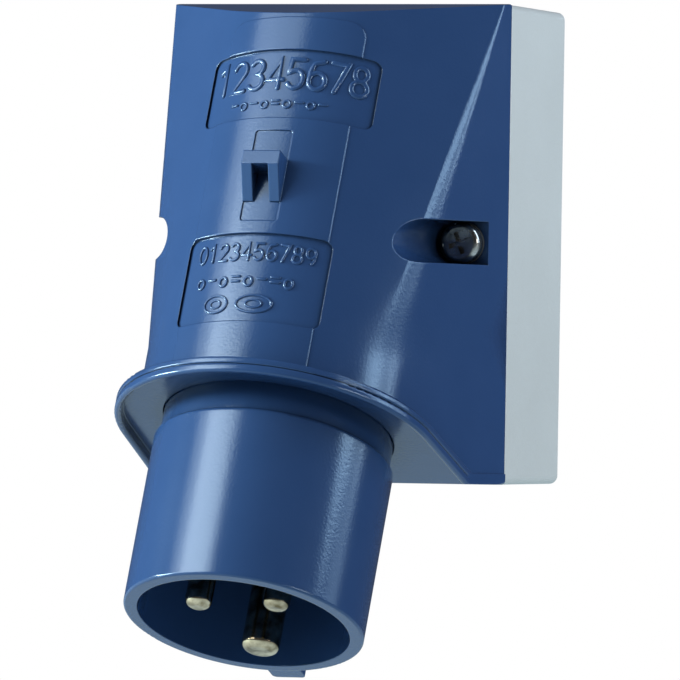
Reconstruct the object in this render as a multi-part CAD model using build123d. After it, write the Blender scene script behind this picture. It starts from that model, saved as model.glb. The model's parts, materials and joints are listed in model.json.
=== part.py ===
# Industrial wall inlet, 16 A, three pins, hour position 6
# Origin at the centre of the wall face, +Z up, +Y into the wall, the plug points down and forward

import math
import os
from build123d import *

os.makedirs("parts", exist_ok=True)

# Back box, in millimetres
box_width = 66.0
box_height = 88.0
box_depth = 28.8
box_draft = 0.3
box_wall = 2.5
corner_radius = 1.6
rim_step = 1.2
rim_depth = 1.6
rim_rounding = 0.6
boss_radius = 4.2
fixing_z = 32.0
fixing_radius = 2.5
fixing_travel = 5.0
entry_radius = 10.2
entry_y = -14.4

# Plug axis: tilt from the vertical, and the centre of the mouth
axis_tilt = 24.0
mouth_y = -73.4
mouth_z = -69.4
shroud_radius = 22.0
shroud_bore = 19.5
shroud_body = 32.8
shroud_mouth = -0.3
mouth_rounding = 0.45
shoulder_rounding = 0.8
neck_radius = 21.1
neck_gap = 0.15
key_width = 6.4
key_height = 3.3
key_rounding = 0.9

# Cover: a half round front on the plug axis, widened to the box by flat flanks
hood_radius = 26.0
hood_wall = 2.5
foot_wall = 2.0
hood_corner = 0.8
ridge_top = [(32.56, 1.9), (32.38, 2.35), (31.95, 2.65)]
ridge_end_z = -20.0
ridge_span = 16.0
ridge_inset = 0.84
flank_angle = 40.0
top_slope = 6.3
band_height = 2.0
band_rise = 0.2

# Collar around the neck, a dished plate square to the plug axis
collar_radius = 30.0
collar_corner = (30.8, -18.0)
collar_run = 20.0
collar_start = 36.0
collar_layers = (1.7, 1.3)
collar_recess = 2.0
collar_lip = 1.3
layer_rounding = 0.5
seam_rounding = 0.2
dish_rounding = 0.55

# Raised pad and two recessed panels on the round front
pad_half_width = 13.0
pad_radius = 26.25
pad_top = 108.8
pad_corner = 3.0
panel_radius = 25.55
panel_corner = 1.6
panels = [(16.3, 88.4, 102.2), (13.8, 47.7, 65.2)]

# Latch lug on the pad
lug_half_width = 3.6
lug_wall = 2.0
lug_radius = 30.0
lug_foot = 71.5
lug_ledge = 77.3
lug_top = 79.9
lug_bed_span = (67.7, 85.8)
lug_bed_radius = 26.05
lug_bed_corner = 0.6

# Screw pockets, cover screws, seals and inserts
screw_x = 26.9
pocket_radius = 3.95
pocket_shift = 0.9
pocket_floor = 6.0
pocket_wall = 2.0
screw_radius = 2.0
screw_hole = 2.2
screw_length = 18.0
head_radius = 3.7
head_height = 2.4
head_rounding = 0.9
cross_turn = 20.0
cross_depth = 1.3
seal_thickness = 0.8
seal_radius = 3.75
insert_radius = 2.9
insert_length = 8.0

# Pins, carrier, terminal housing and terminals
pin_circle = 8.7
earth_circle = 9.5
thin_pin = 2.5
earth_pin = 3.5
thin_tip = 0.7
earth_tip = -1.75
tip_rounding = 1.5
pin_end = 49.0
pin_groove = 0.3
pin_shoulder = 0.2
carrier_face = 38.5
carrier_radius = 19.45
flange_radius = 23.2
flange_thickness = 2.5
housing_radius = 23.0
housing_length = 14.0
terminal_size = 7.6
terminal_start = 46.0
terminal_end = 57.5
terminal_screw_at = 54.0
small_screw_at = 21.3

tilt = math.radians(axis_tilt)
down_axis = Vector(0, -math.sin(tilt), -math.cos(tilt))
front_normal = Vector(0, -math.cos(tilt), math.sin(tilt))
mouth = Vector(0, mouth_y, mouth_z)
half_w = box_width / 2
half_h = box_height / 2
plate_back = collar_start + collar_recess + hood_wall
flange_start = plate_back + seal_thickness
flange_end = flange_start + flange_thickness
far = 200.0
low_end = (Align.CENTER, Align.CENTER, Align.MIN)


def axis_plane(up_axis):
    # Plane square to the plug axis, local y along the front normal, local z up the axis
    return Plane(origin=mouth - down_axis * up_axis, x_dir=(-1, 0, 0), z_dir=-down_axis)


def axis_cylinder(radius, start, end, x=0.0, out=0.0):
    return axis_plane(start) * Pos(-x, out, 0) * Cylinder(radius, end - start, align=low_end)


def axis_box(half_width, out_low, out_high, start, end, x=0.0):
    block = Box(2 * half_width, out_high - out_low, end - start, align=(Align.CENTER, Align.MIN, Align.MIN))
    return axis_plane(start) * Pos(-x, out_low, 0) * block


def wall_plane(y):
    # Plane parallel to the wall at depth y, local x to the right, local y up, normal to the front
    return Plane(origin=(0, y, 0), x_dir=(1, 0, 0), z_dir=(0, -1, 0))


def depth_cylinder(radius, x, z, y_back, y_front):
    length = y_back - y_front
    return wall_plane(y_back) * Pos(x, z, 0) * Cylinder(radius, length, align=low_end)


def rounded_prism(y_back, width_back, height_back, y_front, width_front, height_front, radius):
    back = wall_plane(y_back) * RectangleRounded(width_back, height_back, radius)
    front = wall_plane(y_front) * RectangleRounded(width_front, height_front, radius)
    return loft([back, front])


def axis_depth(z):
    # Distance of the plug axis in front of the box rim at height z
    return -box_depth - (mouth_y + (z - mouth_z) * math.tan(tilt))


def round_point(degrees, z, inset):
    # Point on the half round front in a level section, as (x, t)
    angle = math.radians(degrees)
    radius = hood_radius - inset
    return (radius * math.sin(angle), axis_depth(z) + radius / math.cos(tilt) * math.cos(angle))


def touch_angle(z, inset):
    # Angle on the round front where a line from the foot of the side touches it
    radius = hood_radius - inset
    across = (half_w - inset) / radius
    along = (axis_depth(z) + inset) * math.cos(tilt) / radius
    return math.degrees(math.atan2(along, across) + math.asin(1 / math.hypot(across, along)))


def hood_section(z, inset, back):
    # Closed level outline of the cover at height z, moved inward by inset
    radius = hood_radius - inset
    depth = radius / math.cos(tilt)
    centre = Plane(origin=(0, -box_depth - axis_depth(z), z), x_dir=(1, 0, 0), z_dir=(0, 0, 1))
    edges = [Edge.make_ellipse(radius, depth, centre, 270 - flank_angle, 270 + flank_angle)]
    for sign in (-1, 1):
        if z < half_h:
            side_angle = touch_angle(z, inset)
            side = round_point(side_angle, z, inset)
            low_angle = side_angle - ridge_span
            for pair in ((flank_angle, low_angle), (low_angle, side_angle)):
                low, high = sorted(270 + sign * angle for angle in pair)
                edges.append(Edge.make_ellipse(radius, depth, centre, low, high))
        else:
            side, middle, flank = [(x - inset, t - ridge_inset * inset) for x, t in ridge_top]
            outline = (round_point(flank_angle, z, inset), flank, middle, side)
            points = [Vector(sign * x, -box_depth - t, z) for x, t in outline]
            edges.append(Edge.make_line(points[0], points[1]))
            edges.append(Edge.make_three_point_arc(*points[1:]))
        side_point = Vector(sign * side[0], -box_depth - side[1], z)
        foot = Vector(sign * (half_w - inset), -box_depth + back, z)
        edges.append(Edge.make_line(side_point, foot))
        edges.append(Edge.make_line(foot, Vector(0, -box_depth + back, z)))
    return Wire(edges)


def hood_loft(inset, back):
    heights = (half_h, ridge_end_z, -half_h)
    return Solid.make_loft([hood_section(z, inset, back) for z in heights], True)


def above_plane(up_axis):
    return axis_box(far / 2, -far / 2, far / 2, up_axis, up_axis + far)


def slab(z_low, z_high, y_back, y_front):
    size = (far, y_back - y_front, z_high - z_low)
    return Pos(0, y_back, z_low) * Box(*size, align=(Align.CENTER, Align.MAX, Align.MIN))


def collar_outline(inset, up_axis):
    # Round at the front, tangent lines to the two bottom corners, as a face square to the plug axis
    radius = collar_radius - inset
    corner_x = collar_corner[0] - inset
    corner_v = collar_corner[1]
    reach = math.hypot(corner_x, corner_v)
    touch = math.atan2(corner_v, corner_x) + math.acos(radius / reach)
    touch_point = (radius * math.cos(touch), radius * math.sin(touch))
    slope = (corner_x - touch_point[0]) / (corner_v - touch_point[1])
    low_v = corner_v - collar_run
    low_x = corner_x + slope * (low_v - corner_v)
    edges = [Edge.make_three_point_arc(touch_point, (0, radius), (-touch_point[0], touch_point[1]))]
    edges.append(Edge.make_line((-touch_point[0], touch_point[1]), (-low_x, low_v)))
    edges.append(Edge.make_line((-low_x, low_v), (low_x, low_v)))
    edges.append(Edge.make_line((low_x, low_v), touch_point))
    return axis_plane(up_axis) * Face(Wire(edges))


def along_axis(face, length):
    return extrude(face, length, dir=-down_axis)


def level_edges(shape, up_axis):
    # Round and slanted edges of the collar's outline in one plane square to the plug axis
    found = []
    for edge in shape.edges():
        height = (edge @ 0.5 - mouth).dot(-down_axis)
        behind = (edge @ 0.5 - mouth).dot(front_normal) < collar_corner[1] - collar_run + 1
        if abs(height - up_axis) < 0.01 and not behind:
            found.append(edge)
    return found


def collar():
    # Two rounded layers with a fine groove between them, dished from below and open towards the wall
    seam = collar_start + collar_layers[0]
    low = along_axis(collar_outline(0.0, collar_start), collar_layers[0])
    low = fillet(level_edges(low, seam), layer_rounding)
    high = along_axis(collar_outline(0.0, seam), collar_layers[1])
    high = fillet(level_edges(high, seam), seam_rounding)
    high = fillet(level_edges(high, seam + collar_layers[1]), layer_rounding)
    low = low - collar_dish()
    low = fillet(level_edges(low, collar_start), dish_rounding)
    return (low + high) & slab(-half_h, far, -box_depth, -far)


def collar_dish():
    return along_axis(collar_outline(collar_lip, collar_start - 1), collar_recess + 1)


def side_slot(sign, radius, low):
    # Prism with a half round inner end, open to the side and to the front
    centre = sign * (screw_x - pocket_shift)
    edge = Align.MIN if sign > 0 else Align.MAX
    side = Box(far, far, 2 * radius, align=(edge, Align.MAX, Align.CENTER))
    return depth_cylinder(radius, centre, 0, low, -far) + Pos(centre, low, 0) * side


def pocket_block(sign):
    # Wall around one screw pocket, from the pocket floor to the front, and the boss under its floor
    low = -box_depth - pocket_floor + hood_wall
    block = side_slot(sign, pocket_radius + pocket_wall, low)
    return block + depth_cylinder(boss_radius, sign * screw_x, 0, -box_depth, low - 1)


def pocket_cut(sign):
    low = -box_depth - pocket_floor
    cut = side_slot(sign, pocket_radius, low)
    return cut + depth_cylinder(screw_hole, sign * screw_x, 0, -box_depth + 1, low - 1)


def strip(half_width, start, end, corner):
    # Flat rounded rectangle, extruded along the front normal, used to bound pads and panels
    middle = (start + end) / 2
    centre = mouth - down_axis * middle
    plane = Plane(origin=centre, x_dir=(1, 0, 0), z_dir=front_normal)
    return extrude(plane * RectangleRounded(2 * half_width, end - start, corner), 60)


def up_axis_order():
    # Line along the plug axis, used to sort edges from the mouth upwards
    return Axis(tuple(mouth), tuple(-down_axis))


def pad():
    # Raised pad along the front, ending at the collar and just below the top
    start = collar_start + 1
    block = axis_cylinder(pad_radius, start, pad_top) - axis_cylinder(hood_radius - 1, start, pad_top)
    return block & strip(pad_half_width, start - 10, pad_top, pad_corner)


def recess_cut(half_width, start, end, radius, corner):
    ring = axis_cylinder(hood_radius + 4, start, end) - axis_cylinder(radius, start, end)
    return ring & strip(half_width, start, end, corner)


def latch_lug():
    # Ledge with two sloping cheeks, open towards the plug
    base_out = hood_radius - 1.5
    ledge = axis_box(lug_half_width, base_out, lug_radius, lug_ledge, lug_top)
    profile = Plane(origin=mouth - down_axis * lug_ledge, x_dir=front_normal, z_dir=(1, 0, 0))
    corners = [(base_out, 0.5), (lug_radius, 0.5), (lug_radius, 0), (base_out + 1.8, lug_foot - lug_ledge)]
    corners.append((base_out, lug_foot - lug_ledge))
    up_sign = 1 if profile.y_dir.dot(-down_axis) > 0 else -1
    cheek_face = profile * make_face(Polyline(*[(a, up_sign * b) for a, b in corners], close=True))
    cheek = extrude(cheek_face, lug_wall)
    shift = lug_half_width - lug_wall
    return ledge + Pos(shift, 0, 0) * cheek + Pos(-shift - lug_wall, 0, 0) * cheek


def hood_cover():
    outer = hood_loft(0.0, 0.0)
    trim = above_plane(collar_start + 2.0) & slab(-half_h, far, far, -far)
    roof_plane = Plane(origin=(0, -box_depth, half_h), x_dir=(1, 0, 0), z_dir=(0, 0, 1))
    roof = roof_plane * Rot(top_slope, 0, 0) * Box(far, far, far, align=(Align.CENTER, Align.CENTER, Align.MIN))
    band = hood_loft(-band_rise, 0.0) & slab(-half_h, -half_h + band_height, -box_depth, -far)
    shape = (outer & trim) - roof
    shape = shape + (band & above_plane(collar_start + 0.4))
    inner = hood_loft(hood_wall, 4.0) & slab(-half_h + foot_wall, half_h - hood_wall - 0.4, far, -far)
    shape = shape - (inner & above_plane(plate_back))
    for sign in (-1, 1):
        shape = shape + (pocket_block(sign) & outer)
    shape = shape + collar() + ((pad() & above_plane(collar_start + 1)) - roof) - collar_dish()
    for half_width, start, end in panels:
        shape = shape - recess_cut(half_width, start, end, panel_radius, panel_corner)
    shape = shape - recess_cut(lug_half_width, *lug_bed_span, lug_bed_radius, lug_bed_corner)
    shape = shape + latch_lug()
    for sign in (-1, 1):
        shape = shape - pocket_cut(sign)
    outline_w = box_width + 2 * band_rise
    shape = shape & rounded_prism(0, outline_w, box_height, -far, outline_w, box_height, hood_corner)
    return shape - axis_cylinder(neck_radius + neck_gap, collar_start - 5, plate_back + 1)


def back_box():
    shell = rounded_prism(0, box_width - 2 * box_draft, box_height - 2 * box_draft,
                          -box_depth, box_width, box_height, corner_radius)
    shell = fillet(shell.faces().sort_by(Axis.Y)[0].edges(), rim_rounding)
    inner_w = box_width - 2 * box_wall
    inner_h = box_height - 2 * box_wall
    shell = shell - rounded_prism(-box_wall, inner_w, inner_h, -box_depth - 1, inner_w, inner_h, 1.0)
    step_w = inner_w + 2 * rim_step
    step_h = inner_h + 2 * rim_step
    shell = shell - rounded_prism(-box_depth + rim_depth, step_w, step_h, -box_depth - 1, step_w, step_h, 1.0)
    body = rounded_prism(0, box_width - 2 * box_draft, box_height - 2 * box_draft,
                         -box_depth, box_width, box_height, corner_radius)
    for sign in (-1, 1):
        boss = depth_cylinder(boss_radius, sign * screw_x, 0, -box_wall + 0.5, -box_depth)
        shell = shell + (boss & body)
        shell = shell - depth_cylinder(insert_radius, sign * screw_x, 0, -box_depth + insert_length, -box_depth - 1)
        shell = shell - depth_cylinder(screw_hole, sign * screw_x, 0, -box_wall - 6, -box_depth)
        collar_z = sign * fixing_z
        upright = Pos(0, collar_z, 0) * Rot(0, 0, 90)
        raised = wall_plane(-box_wall + 0.5) * upright * SlotCenterToCenter(fixing_travel, 10)
        shell = shell + extrude(raised, 2.0)
        slot = wall_plane(1) * upright * SlotCenterToCenter(fixing_travel, 2 * fixing_radius)
        shell = shell - extrude(slot, 10)
    entry = Pos(0, entry_y, half_h - box_wall - 2) * Cylinder(entry_radius, 8, align=low_end)
    return shell - entry


def box_gasket():
    outer_w = box_width - 2 * box_wall + 2 * rim_step
    outer_h = box_height - 2 * box_wall + 2 * rim_step
    ring = rounded_prism(-box_depth + rim_depth, outer_w, outer_h, -box_depth, outer_w, outer_h, 1.0)
    inner_w = outer_w - 2.4
    inner_h = outer_h - 2.4
    ring = ring - rounded_prism(0, inner_w, inner_h, -box_depth - 1, inner_w, inner_h, 1.0)
    for sign in (-1, 1):
        ring = ring - depth_cylinder(boss_radius, sign * screw_x, 0, 0, -box_depth - 1)
    return ring


def entry_grommet():
    low = half_h - box_wall
    body = Cylinder(entry_radius, box_wall - 0.15, align=low_end)
    body = body + Pos(0, 0, -1.6) * Cylinder(entry_radius + 1.6, 1.6, align=low_end)
    body = body - Pos(0, 0, 1.4) * Cylinder(entry_radius - 2.2, 4, align=low_end)
    body = body - Pos(0, 0, -2) * Cylinder(entry_radius - 2.2, 1.6, align=low_end)
    ring = Pos(0, 0, 0.6) * (Cylinder(5.2, 0.8, align=low_end) - Cylinder(4.4, 0.8, align=low_end))
    return Pos(0, entry_y, low) * (body + ring)


def inlet_shroud():
    body = axis_cylinder(shroud_radius, shroud_mouth, shroud_body)
    body = fillet(body.edges().filter_by(GeomType.CIRCLE).sort_by(up_axis_order())[0], mouth_rounding)
    body = fillet(body.edges().filter_by(GeomType.CIRCLE).sort_by(up_axis_order())[-1], shoulder_rounding)
    key = axis_box(key_width / 2, -shroud_radius - key_height, -shroud_radius + 1, 0, shroud_body - shoulder_rounding)
    key_edges = key.edges().filter_by(up_axis_order()).sort_by(Axis((0, 0, 0), tuple(front_normal)))
    key = fillet(key_edges[:2], key_rounding)
    body = body + key
    body = body + axis_cylinder(neck_radius, shroud_body - 1, flange_start)
    body = body + axis_cylinder(flange_radius, flange_start, flange_end)
    body = body - axis_cylinder(shroud_bore, -1, flange_end + 1)
    for sign in (-1, 1):
        body = body - axis_cylinder(1.15, flange_start + 0.5, flange_end + 1, sign * small_screw_at)
    return body


def flange_seal():
    ring = axis_cylinder(flange_radius, plate_back, flange_start)
    return ring - axis_cylinder(neck_radius + neck_gap, plate_back - 1, flange_start + 1)


def pin_places():
    # Earth next to the key at the bottom, the two others 120 degrees away, as (x, out)
    across = pin_circle * math.sin(math.radians(120))
    return {"earth": (0, -earth_circle), "line": (-across, pin_circle / 2), "neutral": (across, pin_circle / 2)}


def pin_radius(name):
    return earth_pin if name == "earth" else thin_pin


def pin_carrier():
    body = axis_cylinder(carrier_radius, carrier_face, flange_end)
    for name, (x, out) in pin_places().items():
        collar_ring = axis_cylinder(pin_radius(name) + 1.4, carrier_face - 1.2, carrier_face + 1, x, out)
        body = body + collar_ring
        body = body - axis_cylinder(pin_radius(name) + pin_shoulder, carrier_face - 3, flange_end + 1, x, out)
    return body


def terminal_frame(x, out, up_axis):
    # Plane at a terminal, local x pointing away from the plug axis, local z up the axis
    length = math.hypot(x, out)
    direction = Vector(x / length, 0, 0) + front_normal * (out / length)
    return Plane(origin=mouth - down_axis * up_axis + Vector(x, 0, 0) + front_normal * out,
                 x_dir=direction, z_dir=-down_axis)


def terminal_housing():
    body = axis_cylinder(housing_radius, flange_end, flange_end + housing_length)
    for name, (x, out) in pin_places().items():
        place = terminal_frame(x, out, terminal_start)
        size = terminal_size + 0.2
        body = body - place * Box(size, size, 20, align=low_end)
        access = Pos(terminal_size / 2 - 0.5, 0, 5.5) * Box(20, 4.6, 20, align=(Align.MIN, Align.CENTER, Align.MIN))
        body = body - place * access
        body = body - axis_cylinder(pin_radius(name) + pin_shoulder, flange_end - 1, terminal_start + 1, x, out)
    for sign in (-1, 1):
        body = body - axis_cylinder(1.2, flange_end - 1, flange_end + 6, sign * small_screw_at)
        body = body - axis_cylinder(2.2, flange_end + 4, flange_end + 30, sign * small_screw_at)
    return body


def pin(name, tip):
    # Free end with a rounded tip, a relief groove at the carrier, then the thicker held part
    x, out = pin_places()[name]
    radius = pin_radius(name)
    held_start = carrier_face - 1.2
    free_end = held_start - 0.6
    shank = axis_cylinder(radius, tip, free_end, x, out)
    low_edge = shank.edges().filter_by(GeomType.CIRCLE).sort_by(up_axis_order())[0]
    shank = fillet(low_edge, tip_rounding)
    shank = shank + axis_cylinder(radius - pin_groove, free_end, held_start, x, out)
    return shank + axis_cylinder(radius + pin_shoulder, held_start, pin_end, x, out)


def terminal(name):
    x, out = pin_places()[name]
    block = Box(terminal_size, terminal_size, terminal_end - terminal_start, align=low_end)
    body = terminal_frame(x, out, terminal_start) * block
    body = body - axis_cylinder(pin_radius(name) + pin_shoulder, terminal_start - 1, pin_end, x, out)
    body = body - axis_cylinder(1.8, pin_end + 1.5, terminal_end + 1, x, out)
    cross = terminal_frame(x, out, terminal_screw_at) * Rot(0, 90, 0) * Cylinder(1.6, 10, align=low_end)
    return body - cross


def terminal_screw(name):
    x, out = pin_places()[name]
    frame = terminal_frame(x, out, terminal_screw_at) * Rot(0, 90, 0)
    start = 0.6
    shank = Pos(0, 0, start) * Cylinder(1.55, terminal_size / 2 - start + 0.4, align=low_end)
    head = Pos(0, 0, terminal_size / 2 + 0.4) * Cylinder(1.9, 1.2, align=low_end)
    slot = Pos(0, 0, terminal_size / 2 + 1.0) * Box(5, 0.6, 2, align=low_end)
    return frame * (shank + head - slot)


def cover_screw(sign):
    seat = -box_depth - pocket_floor - seal_thickness
    head = Cylinder(head_radius, head_height, align=low_end)
    head = fillet(head.edges().sort_by(Axis.Z)[-1], head_rounding)
    for angle in (0, 90):
        cross = Rot(0, 0, angle + cross_turn) * Pos(0, 0, head_height - cross_depth) * Box(4.2, 0.9, 2, align=low_end)
        head = head - cross
    shank = Pos(0, 0, -screw_length) * Cylinder(screw_radius, screw_length, align=low_end)
    shank = chamfer(shank.edges().sort_by(Axis.Z)[0], 0.8)
    return wall_plane(seat) * Pos(sign * screw_x, 0, 0) * (head + shank)


def screw_seal(sign):
    low = -box_depth - pocket_floor
    ring = depth_cylinder(seal_radius, sign * screw_x, 0, low, low - seal_thickness)
    return ring - depth_cylinder(screw_radius, sign * screw_x, 0, 0, -far)


def threaded_insert(sign):
    ring = depth_cylinder(insert_radius, sign * screw_x, 0, -box_depth + insert_length, -box_depth + 0.2)
    return ring - depth_cylinder(screw_radius, sign * screw_x, 0, 0, -far)


def housing_screws():
    screws = []
    for sign in (-1, 1):
        x = sign * small_screw_at
        shank = axis_cylinder(1.1, flange_start + 0.6, flange_end + 4, x)
        head = axis_cylinder(2.0, flange_end + 4, flange_end + 5.6, x)
        screws.append(shank + head)
    return Compound(children=screws)


pieces = {
    "back_box": back_box(),
    "box_gasket": box_gasket(),
    "entry_grommet": entry_grommet(),
    "hood_cover": hood_cover(),
    "inlet_shroud": inlet_shroud(),
    "flange_seal": flange_seal(),
    "pin_carrier": pin_carrier(),
    "terminal_housing": terminal_housing(),
    "line_pin": pin("line", thin_tip),
    "neutral_pin": pin("neutral", thin_tip),
    "earth_pin": pin("earth", earth_tip),
    "housing_screws": housing_screws(),
}
for name in ("line", "neutral", "earth"):
    pieces[name + "_terminal"] = terminal(name)
    pieces[name + "_terminal_screw"] = terminal_screw(name)
for side, sign in (("left", -1), ("right", 1)):
    pieces["cover_screw_" + side] = cover_screw(sign)
    pieces["screw_seal_" + side] = screw_seal(sign)
    pieces["threaded_insert_" + side] = threaded_insert(sign)

for node, solid in pieces.items():
    solid.label = node
    export_step(solid, "parts/" + node + ".step")
    print(node, len(solid.solids()), round(solid.volume), solid.is_valid)
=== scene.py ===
# Industrial wall inlet in blue and grey plastic: camera, light, materials and surface detail
import bpy
import json
import math
from mathutils import Matrix, Vector


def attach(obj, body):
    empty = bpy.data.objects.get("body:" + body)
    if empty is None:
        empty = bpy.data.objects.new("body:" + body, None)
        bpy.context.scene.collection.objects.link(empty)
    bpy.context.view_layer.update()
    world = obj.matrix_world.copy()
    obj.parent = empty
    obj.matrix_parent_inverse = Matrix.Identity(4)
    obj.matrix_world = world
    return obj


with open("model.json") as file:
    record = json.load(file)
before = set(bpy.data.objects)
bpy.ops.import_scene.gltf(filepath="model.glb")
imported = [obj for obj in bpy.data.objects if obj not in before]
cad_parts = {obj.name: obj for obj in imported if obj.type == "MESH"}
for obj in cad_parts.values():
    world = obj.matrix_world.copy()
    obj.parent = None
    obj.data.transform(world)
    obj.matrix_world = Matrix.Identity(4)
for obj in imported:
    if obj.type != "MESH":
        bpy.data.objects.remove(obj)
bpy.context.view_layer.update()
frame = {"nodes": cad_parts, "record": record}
scene = bpy.context.scene
scene.view_settings.view_transform = 'Standard'

# rays that the soft edges and the painted shade in the hollows are worked out with
traceSamples = 8
# part of the streak noise that runs from the dark to the light metal colour
spotRange = (0.36, 0.62)


def newMaterial(name):
    material = bpy.data.materials.new(name)
    material.use_nodes = True
    return material, material.node_tree.nodes, material.node_tree.links


def softenEdges(soft, coords, bump, nodes, links):
    # moulded edges catch the light as narrow rounds, and the flanks run into the round front
    # without a line where the two meet
    bevel = nodes.new("ShaderNodeBevel")
    bevel.samples = traceSamples
    split = nodes.new("ShaderNodeSeparateXYZ")
    links.new(coords.outputs["Object"], split.inputs["Vector"])
    height = nodes.new("ShaderNodeMath")
    height.operation = 'SUBTRACT'
    height.inputs[1].default_value = soft["blendZ"]
    links.new(split.outputs["Z"], height.inputs[0])
    distance = nodes.new("ShaderNodeMath")
    distance.operation = 'ABSOLUTE'
    links.new(height.outputs["Value"], distance.inputs[0])
    near = nodes.new("ShaderNodeMapRange")
    near.inputs["From Max"].default_value = soft["blendReach"]
    near.inputs["To Min"].default_value = 1
    near.inputs["To Max"].default_value = 0
    links.new(distance.outputs["Value"], near.inputs["Value"])
    across = nodes.new("ShaderNodeMath")
    across.operation = 'ABSOLUTE'
    links.new(split.outputs["X"], across.inputs[0])
    side = nodes.new("ShaderNodeMapRange")
    side.inputs["From Min"].default_value = soft["blendX"]
    side.inputs["From Max"].default_value = soft["blendX"] + soft["blendFade"]
    links.new(across.outputs["Value"], side.inputs["Value"])
    both = nodes.new("ShaderNodeMath")
    both.operation = 'MULTIPLY'
    links.new(near.outputs["Result"], both.inputs[0])
    links.new(side.outputs["Result"], both.inputs[1])
    radius = nodes.new("ShaderNodeMapRange")
    radius.inputs["To Min"].default_value = soft["radius"]
    radius.inputs["To Max"].default_value = soft["blendReach"]
    links.new(both.outputs["Value"], radius.inputs["Value"])
    links.new(radius.outputs["Result"], bevel.inputs["Radius"])
    links.new(bevel.outputs["Normal"], bump.inputs["Normal"])


def makePlastic(name, look):
    # moulded plastic: a slight mottle in colour and gloss, and a fine grain in the surface
    material, nodes, links = newMaterial(name)
    shader = nodes["Principled BSDF"]
    coords = nodes.new("ShaderNodeTexCoord")
    cloud = nodes.new("ShaderNodeTexNoise")
    cloud.inputs["Scale"].default_value = look["cloudScale"]
    cloud.inputs["Detail"].default_value = 4
    links.new(coords.outputs["Object"], cloud.inputs["Vector"])
    tint = nodes.new("ShaderNodeMix")
    tint.data_type = 'RGBA'
    tint.inputs["A"].default_value = (*look["dark"], 1)
    tint.inputs["B"].default_value = (*look["light"], 1)
    links.new(cloud.outputs["Fac"], tint.inputs["Factor"])
    links.new(tint.outputs["Result"], shader.inputs["Base Color"])
    gloss = nodes.new("ShaderNodeMapRange")
    gloss.inputs["To Min"].default_value = look["roughLow"]
    gloss.inputs["To Max"].default_value = look["roughHigh"]
    links.new(cloud.outputs["Fac"], gloss.inputs["Value"])
    links.new(gloss.outputs["Result"], shader.inputs["Roughness"])
    grain = nodes.new("ShaderNodeTexNoise")
    grain.inputs["Scale"].default_value = look["grainScale"]
    grain.inputs["Detail"].default_value = 3
    links.new(coords.outputs["Object"], grain.inputs["Vector"])
    bump = nodes.new("ShaderNodeBump")
    bump.inputs["Strength"].default_value = look["grainStrength"]
    bump.inputs["Distance"].default_value = look["grainDepth"]
    links.new(grain.outputs["Fac"], bump.inputs["Height"])
    links.new(bump.outputs["Normal"], shader.inputs["Normal"])
    shader.inputs["Specular IOR Level"].default_value = look["specular"]
    if "sheenColor" in look:
        shader.inputs["Specular Tint"].default_value = (*look["sheenColor"], 1)
    if "softEdge" in look:
        softenEdges(look["softEdge"], coords, bump, nodes, links)
    if "paintedHollowShade" in look:
        # painted shade: the base colour is darkened in narrow pockets, creases and recesses, where
        # little light gets in
        depth = nodes.new("ShaderNodeAmbientOcclusion")
        depth.samples = traceSamples
        depth.inputs["Distance"].default_value = look["paintedHollowShade"]["reach"]
        keep = nodes.new("ShaderNodeMapRange")
        keep.inputs["To Min"].default_value = look["paintedHollowShade"]["dark"]
        keep.inputs["From Min"].default_value = look["paintedHollowShade"]["closed"]
        keep.inputs["From Max"].default_value = look["paintedHollowShade"]["open"]
        links.new(depth.outputs["AO"], keep.inputs["Value"])
        shade = nodes.new("ShaderNodeVectorMath")
        shade.operation = 'SCALE'
        links.new(tint.outputs["Result"], shade.inputs[0])
        links.new(keep.outputs["Result"], shade.inputs["Scale"])
        links.new(shade.outputs["Vector"], shader.inputs["Base Color"])
    return material


def makeMetal(name, look):
    # bright metal with small darker spots and an uneven shine
    material, nodes, links = newMaterial(name)
    shader = nodes["Principled BSDF"]
    shader.inputs["Metallic"].default_value = 1.0
    coords = nodes.new("ShaderNodeTexCoord")
    streak = nodes.new("ShaderNodeTexNoise")
    streak.inputs["Scale"].default_value = look["streakScale"]
    streak.inputs["Detail"].default_value = 5
    links.new(coords.outputs["Object"], streak.inputs["Vector"])
    tint = nodes.new("ShaderNodeMix")
    tint.data_type = 'RGBA'
    tint.inputs["A"].default_value = (*look["dark"], 1)
    tint.inputs["B"].default_value = (*look["light"], 1)
    spots = nodes.new("ShaderNodeMapRange")
    spots.inputs["From Min"].default_value = spotRange[0]
    spots.inputs["From Max"].default_value = spotRange[1]
    links.new(streak.outputs["Fac"], spots.inputs["Value"])
    links.new(spots.outputs["Result"], tint.inputs["Factor"])
    links.new(tint.outputs["Result"], shader.inputs["Base Color"])
    gloss = nodes.new("ShaderNodeMapRange")
    gloss.inputs["To Min"].default_value = look["roughLow"]
    gloss.inputs["To Max"].default_value = look["roughHigh"]
    links.new(streak.outputs["Fac"], gloss.inputs["Value"])
    links.new(gloss.outputs["Result"], shader.inputs["Roughness"])
    return material


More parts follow.
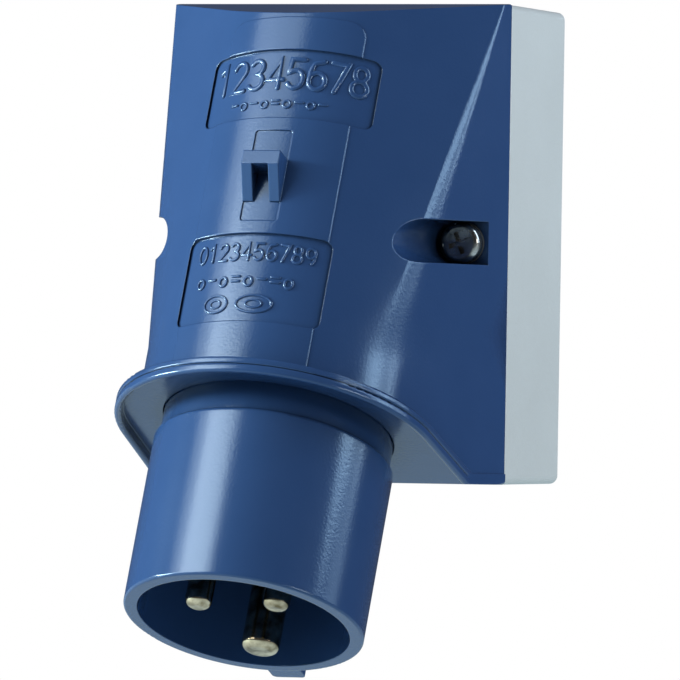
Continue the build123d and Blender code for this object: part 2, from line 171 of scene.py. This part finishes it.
looks = {
    "blue_plastic": {"dark": (0.0180, 0.0465, 0.126), "light": (0.0220, 0.0530, 0.140),
                     "cloudScale": 110, "roughLow": 0.15, "roughHigh": 0.19,
                     "grainScale": 2000, "grainStrength": 0.42, "grainDepth": 0.00006,
                     "specular": 0.5, "sheenColor": (0.66, 0.85, 1.0),
                     "softEdge": {"radius": 0.00030, "blendZ": -0.0165, "blendReach": 0.0105,
                                  "blendX": 0.0155, "blendFade": 0.002},
                     # painted shade: the base colour darkens in narrow pockets, creases and
                     # recesses
                     "paintedHollowShade": {"reach": 0.011, "dark": 0.22, "closed": 0.15, "open": 0.75}},
    "grey_plastic": {"dark": (0.47, 0.465, 0.445), "light": (0.51, 0.505, 0.485),
                     "cloudScale": 50, "roughLow": 0.42, "roughHigh": 0.52,
                     "grainScale": 1700, "grainStrength": 0.9, "grainDepth": 0.00008,
                     "specular": 0.45},
    "carrier_plastic": {"dark": (0.012, 0.020, 0.045), "light": (0.016, 0.026, 0.055),
                        "cloudScale": 70, "roughLow": 0.45, "roughHigh": 0.55,
                        "grainScale": 2000, "grainStrength": 0.2, "grainDepth": 0.00006,
                        "specular": 0.4},
    "rubber": {"dark": (0.018, 0.018, 0.020), "light": (0.026, 0.026, 0.028),
               "cloudScale": 80, "roughLow": 0.6, "roughHigh": 0.75,
               "grainScale": 1500, "grainStrength": 0.3, "grainDepth": 0.00008,
               "specular": 0.3},
    "grommet_rubber": {"dark": (0.30, 0.35, 0.37), "light": (0.34, 0.39, 0.41),
                       "cloudScale": 60, "roughLow": 0.6, "roughHigh": 0.7,
                       "grainScale": 1500, "grainStrength": 0.3, "grainDepth": 0.00008,
                       "specular": 0.35},
}
metals = {
    "pin_metal": {"dark": (0.15, 0.11, 0.055), "light": (0.56, 0.46, 0.31),
                  "streakScale": 420, "roughLow": 0.12, "roughHigh": 0.24},
    "terminal_brass": {"dark": (0.60, 0.42, 0.16), "light": (0.70, 0.52, 0.24),
                       "streakScale": 250, "roughLow": 0.25, "roughHigh": 0.38},
    "steel": {"dark": (0.20, 0.20, 0.19), "light": (0.42, 0.41, 0.39),
              "streakScale": 400, "roughLow": 0.20, "roughHigh": 0.32},
}
materials = {name: makePlastic(name, look) for name, look in looks.items()}
materials.update({name: makeMetal(name, look) for name, look in metals.items()})
for part in frame["record"]["subparts"]:
    node = frame["nodes"][part["node"]]
    for materialSlot in node.material_slots:
        materialSlot.material = materials[part["material_slot"]]
print("materials set")

# Raised marks on the two recessed panels of the hood: plain numbers, bars, rings and ovals
plugAxis = {"mouth": Vector((0, -0.0734, -0.0694)), "tilt": math.radians(24)}
upAxis = Vector((0, math.sin(plugAxis["tilt"]), math.cos(plugAxis["tilt"])))
outAxis = Vector((0, -math.cos(plugAxis["tilt"]), math.sin(plugAxis["tilt"])))
# the panels' floor is a round wall at this distance from the plug axis
panelFloor = 0.02555


def onPanel(across, along, height):
    angle = across / panelFloor
    reach = panelFloor + height
    return (plugAxis["mouth"] + upAxis * along + outAxis * (reach * math.cos(angle))
            + Vector((reach * math.sin(angle), 0, 0)))


def arc(centre, radii, start, end, steps=12):
    return [(centre[0] + radii[0] * math.cos(math.radians(start + (end - start) * i / steps)),
             centre[1] + radii[1] * math.sin(math.radians(start + (end - start) * i / steps)))
            for i in range(steps + 1)]


# strokes in a cell 0.6 wide and 1 high; a closed stroke ends where it starts
cellWidth = 0.6
numberStrokes = {
    "0": [arc((0.3, 0.5), (0.28, 0.48), 90, 450, 24)],
    "1": [[(0.08, 0.78), (0.34, 0.98), (0.34, 0.02)]],
    "2": [arc((0.3, 0.72), (0.26, 0.26), 165, -30) + [(0.04, 0.02), (0.57, 0.02)]],
    "3": [arc((0.28, 0.75), (0.24, 0.23), 150, -85)
          + arc((0.28, 0.27), (0.28, 0.25), 80, -150)],
    "4": [[(0.44, 0.02), (0.44, 0.98), (0.02, 0.30), (0.60, 0.30)]],
    "5": [[(0.54, 0.98), (0.10, 0.98), (0.06, 0.54)]
          + arc((0.29, 0.32), (0.27, 0.30), 125, -150)],
    "6": [[(0.48, 0.96)] + arc((0.32, 0.36), (0.28, 0.60), 120, 178, 6)
          + arc((0.31, 0.30), (0.27, 0.28), 190, 530, 20)],
    "7": [[(0.04, 0.98), (0.57, 0.98), (0.20, 0.02)]],
    "8": [arc((0.3, 0.75), (0.22, 0.23), 90, 450, 20),
          arc((0.3, 0.27), (0.27, 0.25), 90, 450, 20)],
    "9": [arc((0.30, 0.70), (0.27, 0.28), 0, 360, 20)
          + arc((0.28, 0.62), (0.29, 0.60), 0, -62, 6)],
    "-": [[(0.06, 0.48), (0.54, 0.48)]],
    "=": [[(0.06, 0.62), (0.54, 0.62)], [(0.06, 0.34), (0.54, 0.34)]],
    "o": [arc((0.3, 0.32), (0.24, 0.26), 90, 450, 20)],
}
# samePoint and noLength are limits for rounding errors; cornerLimit keeps sharp corners from
# running out; the foot is sunk so that no gap shows; endTurns are the steps of a rounded end
bar = {"samePoint": 1e-6, "noLength": 1e-9, "cornerLimit": 0.62, "footDepth": 0.00012,
       "roundSteps": 8, "endTurns": (80, 60, 30)}


def ridgeStroke(points, halfWidth, height, vertices, faces):
    # a half round bar along the points, its foot sunk a little in the panel and its ends rounded
    closed = math.dist(points[0], points[-1]) < bar["samePoint"]
    if closed:
        points = points[:-1]
    count = len(points)
    stations = []
    for i, point in enumerate(points):
        before = points[i - 1] if closed or i else point
        after = points[(i + 1) % count] if closed or i < count - 1 else point
        inward = Vector((point[0] - before[0], point[1] - before[1]))
        outward = Vector((after[0] - point[0], after[1] - point[1]))
        inward = (inward if inward.length > bar["noLength"] else outward).normalized()
        outward = outward.normalized() if outward.length > bar["noLength"] else inward
        heading = (inward + outward).normalized()
        miter = 1 / max(heading.dot(outward), bar["cornerLimit"])
        stations.append((Vector(point), heading, miter))
    rounds = [math.radians(angle) for angle in bar["endTurns"]]
    first, last = stations[0], stations[-1]
    rings = [(place, heading, 1, miter) for place, heading, miter in stations]
    if not closed:
        rings = ([(first[0] - first[1] * halfWidth * math.sin(turn), first[1], math.cos(turn), 1)
                  for turn in rounds]
                 + rings
                 + [(last[0] + last[1] * halfWidth * math.sin(turn), last[1], math.cos(turn), 1)
                    for turn in reversed(rounds)])
    start = len(vertices)
    steps = bar["roundSteps"]
    for place, heading, scale, miter in rings:
        side = Vector((heading.y, -heading.x)) * miter
        for step in range(steps + 1):
            turn = math.pi * step / steps
            offset = side * (halfWidth * scale * math.cos(turn))
            vertices.append(onPanel(place.x + offset.x, place.y + offset.y,
                                    height * scale * math.sin(turn)))
        for edge in (-1, 1):
            offset = side * (halfWidth * scale * edge)
            vertices.append(onPanel(place.x + offset.x, place.y + offset.y, -bar["footDepth"]))
    # one ring has steps + 1 vertices over the top and two at the foot
    ring = steps + 3
    spans = len(rings) if closed else len(rings) - 1
    for i in range(spans):
        here, there = start + i * ring, start + ((i + 1) % len(rings)) * ring
        for step in range(ring):
            faces.append((here + step, there + step,
                          there + (step + 1) % ring, here + (step + 1) % ring))
    if not closed:
        faces.append(tuple(start + step for step in range(ring)))
        lastStart = start + (len(rings) - 1) * ring
        faces.append(tuple(lastStart + step for step in reversed(range(ring))))


def markRow(row, vertices, faces):
    pitch = row["pitch"] * row["height"]
    left = -pitch * (len(row["marks"]) - 1) / 2 - cellWidth / 2 * row["height"] * row["wide"]
    for i, mark in enumerate(row["marks"]):
        for stroke in numberStrokes[mark]:
            points = [(left + row["shift"] + i * pitch + x * row["height"] * row["wide"],
                       row["foot"] + y * row["height"]) for x, y in stroke]
            ridgeStroke(points, row["halfWidth"], row["raised"], vertices, faces)


markRows = {
    "upper_panel_marks": [
        {"marks": "12345678", "height": 0.0060, "foot": 0.0945, "pitch": 0.66, "wide": 0.92,
         "shift": 0, "halfWidth": 0.00050, "raised": 0.00036},
        {"marks": "-o-o=o-o-", "height": 0.0026, "foot": 0.0905, "pitch": 0.86, "wide": 1.1,
         "shift": -0.001, "halfWidth": 0.00026, "raised": 0.00026}],
    "lower_panel_marks": [
        {"marks": "0123456789", "height": 0.0034, "foot": 0.0600, "pitch": 0.70, "wide": 0.9,
         "shift": 0, "halfWidth": 0.00030, "raised": 0.00028},
        {"marks": "o-o=o-=o", "height": 0.0034, "foot": 0.0547, "pitch": 0.74, "wide": 0.9,
         "shift": -0.0012, "halfWidth": 0.00030, "raised": 0.00028}],
}
ovals = [{"place": (-0.0058, 0.0514), "radii": (0.0024, 0.0017)},
         {"place": (0.0018, 0.0514), "radii": (0.0034, 0.0017)}]
ovalBars = [{"scale": 1, "halfWidth": 0.00026, "raised": 0.00026, "steps": 32},
            {"scale": 0.45, "halfWidth": 0.00022, "raised": 0.00022, "steps": 20}]
for name, rows in markRows.items():
    vertices, faces = [], []
    for row in rows:
        markRow(row, vertices, faces)
    if name == "lower_panel_marks":
        for oval in ovals:
            for line in ovalBars:
                radii = (oval["radii"][0] * line["scale"], oval["radii"][1] * line["scale"])
                ridgeStroke(arc(oval["place"], radii, 0, 360, line["steps"]),
                            line["halfWidth"], line["raised"], vertices, faces)
    mesh = bpy.data.meshes.new(name)
    mesh.from_pydata(vertices, [], faces)
    mesh.validate()
    mesh.materials.append(materials["blue_plastic"])
    # the long faces are shaded smooth, the end faces flat
    for face in mesh.polygons:
        face.use_smooth = len(face.vertices) == 4
    piece = bpy.data.objects.new(name, mesh)
    scene.collection.objects.link(piece)
    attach(piece, "root")
    print(name, len(mesh.polygons), "faces")

# Camera: seen from the front right and a little from below, through a very long lens
view = {"azimuth": 21.54, "elevation": -1.163, "roll": -0.954, "distance": 2.038,
        "lens": 589.2, "sensor": 36, "near": 0.1, "far": 50,
        "aim": (0.0, -0.040, 0.0), "offsetRight": 0.00405, "offsetUp": -0.01805}
azimuth = math.radians(view["azimuth"])
elevation = math.radians(view["elevation"])
roll = math.radians(view["roll"])
back = Vector((math.sin(azimuth) * math.cos(elevation), -math.cos(azimuth) * math.cos(elevation),
               math.sin(elevation)))
levelRight = Vector((math.cos(azimuth), math.sin(azimuth), 0))
levelUp = back.cross(levelRight)
right = levelRight * math.cos(roll) - levelUp * math.sin(roll)
up = levelRight * math.sin(roll) + levelUp * math.cos(roll)
cameraPlace = Vector(view["aim"]) + back * view["distance"]
target = Vector(view["aim"]) + right * view["offsetRight"] + up * view["offsetUp"]
away = (cameraPlace - target).normalized()
cameraRight = up.cross(away).normalized()
cameraUp = away.cross(cameraRight)
cameraData = bpy.data.cameras.new("camera")
cameraData.lens = view["lens"]
cameraData.sensor_width = view["sensor"]
cameraData.clip_start = view["near"]
cameraData.clip_end = view["far"]
camera = bpy.data.objects.new("camera", cameraData)
camera.matrix_world = Matrix((
    (cameraRight.x, cameraUp.x, away.x, cameraPlace.x),
    (cameraRight.y, cameraUp.y, away.y, cameraPlace.y),
    (cameraRight.z, cameraUp.z, away.z, cameraPlace.z),
    (0, 0, 0, 1)))
scene.collection.objects.link(camera)
scene.camera = camera

# Soft boxes: a large and a small one at the upper left front for the highlight of the round parts,
# three on the right for the ridge and the shroud's edge, and a fill on each side
lampAim = Vector((0, -0.04, -0.02))
softBoxes = [
    {"name": "leftBox", "place": (-1.08, -1.08, 1.28), "size": (1.36, 1.00), "power": 14,
     "color": (0.97, 1.0, 1.0)},
    {"name": "leftCore", "place": (-0.276, -0.393, 0.193), "size": (0.24, 0.28), "power": 1.58,
     "color": (0.97, 0.99, 1.0)},
    {"name": "rightBox", "place": (1.73, 0.69, 0.54), "size": (0.48, 0.80), "power": 2.7,
     "color": (0.64, 0.82, 1.0)},
    {"name": "ridgeBox", "place": (0.326, 0.022, 0.206), "size": (0.11, 0.30), "power": 0.84,
     "color": (0.64, 0.82, 1.0)},
    {"name": "ridgeStrip", "place": (0.308, 0.121, 0.177), "size": (0.048, 0.30), "power": 0.34,
     "color": (0.64, 0.82, 1.0)},
    {"name": "leftFill", "place": (-1.78, -0.79, 0.46), "size": (0.80, 0.20), "power": 75,
     "color": (0.84, 1.0, 0.98)},
    {"name": "rightFill", "place": (1.86, -0.60, 0.38), "size": (0.80, 0.20), "power": 11,
     "color": (1.0, 0.97, 0.92)},
]
for box in softBoxes:
    lamp = bpy.data.lights.new(box["name"], 'AREA')
    lamp.shape = 'RECTANGLE'
    lamp.size = box["size"][0]
    lamp.size_y = box["size"][1]
    lamp.energy = box["power"]
    lamp.color = box["color"]
    lampObject = bpy.data.objects.new(box["name"], lamp)
    lampObject.location = box["place"]
    toward = lampAim - Vector(box["place"])
    lampObject.rotation_euler = toward.to_track_quat('-Z', 'Y').to_euler()
    scene.collection.objects.link(lampObject)

# White surroundings for the camera and through glass, a dark grey for what the object mirrors
# and for the fill light from all round
surroundings = {"seen": (1, 1, 1), "fill": (0.062, 0.060, 0.062)}
world = bpy.data.worlds.new("studio")
scene.world = world
world.use_nodes = True
worldNodes = world.node_tree.nodes
worldLinks = world.node_tree.links
worldNodes.clear()
output = worldNodes.new("ShaderNodeOutputWorld")
seen = worldNodes.new("ShaderNodeBackground")
seen.inputs["Color"].default_value = (*surroundings["seen"], 1)
fill = worldNodes.new("ShaderNodeBackground")
fill.inputs["Color"].default_value = (*surroundings["fill"], 1)
rays = worldNodes.new("ShaderNodeLightPath")
mixer = worldNodes.new("ShaderNodeMixShader")
cameraOrGlass = worldNodes.new("ShaderNodeMath")
cameraOrGlass.operation = 'MAXIMUM'
worldLinks.new(rays.outputs["Is Camera Ray"], cameraOrGlass.inputs[0])
worldLinks.new(rays.outputs["Is Transmission Ray"], cameraOrGlass.inputs[1])
worldLinks.new(cameraOrGlass.outputs["Value"], mixer.inputs["Fac"])
worldLinks.new(fill.outputs["Background"], mixer.inputs[1])
worldLinks.new(seen.outputs["Background"], mixer.inputs[2])
worldLinks.new(mixer.outputs["Shader"], output.inputs["Surface"])

# A pale floor below the object: it lights the undersides
floorLook = {"color": (0.55, 0.64, 0.70), "rough": 0.8}
floorMesh = bpy.data.meshes.new("floor")
floorHalf = 2.5
floorHeight = -0.2
corners = [(-floorHalf, -floorHalf, floorHeight), (floorHalf, -floorHalf, floorHeight),
           (floorHalf, floorHalf, floorHeight), (-floorHalf, floorHalf, floorHeight)]
floorMesh.from_pydata(corners, [], [(0, 1, 2, 3)])
floorObject = bpy.data.objects.new("floor", floorMesh)
scene.collection.objects.link(floorObject)
floorMaterial, floorNodes, floorLinks = newMaterial("floor")
floorShader = floorNodes["Principled BSDF"]
floorShader.inputs["Base Color"].default_value = (*floorLook["color"], 1)
floorShader.inputs["Roughness"].default_value = floorLook["rough"]
floorMesh.materials.append(floorMaterial)
print("camera, light and floor set")
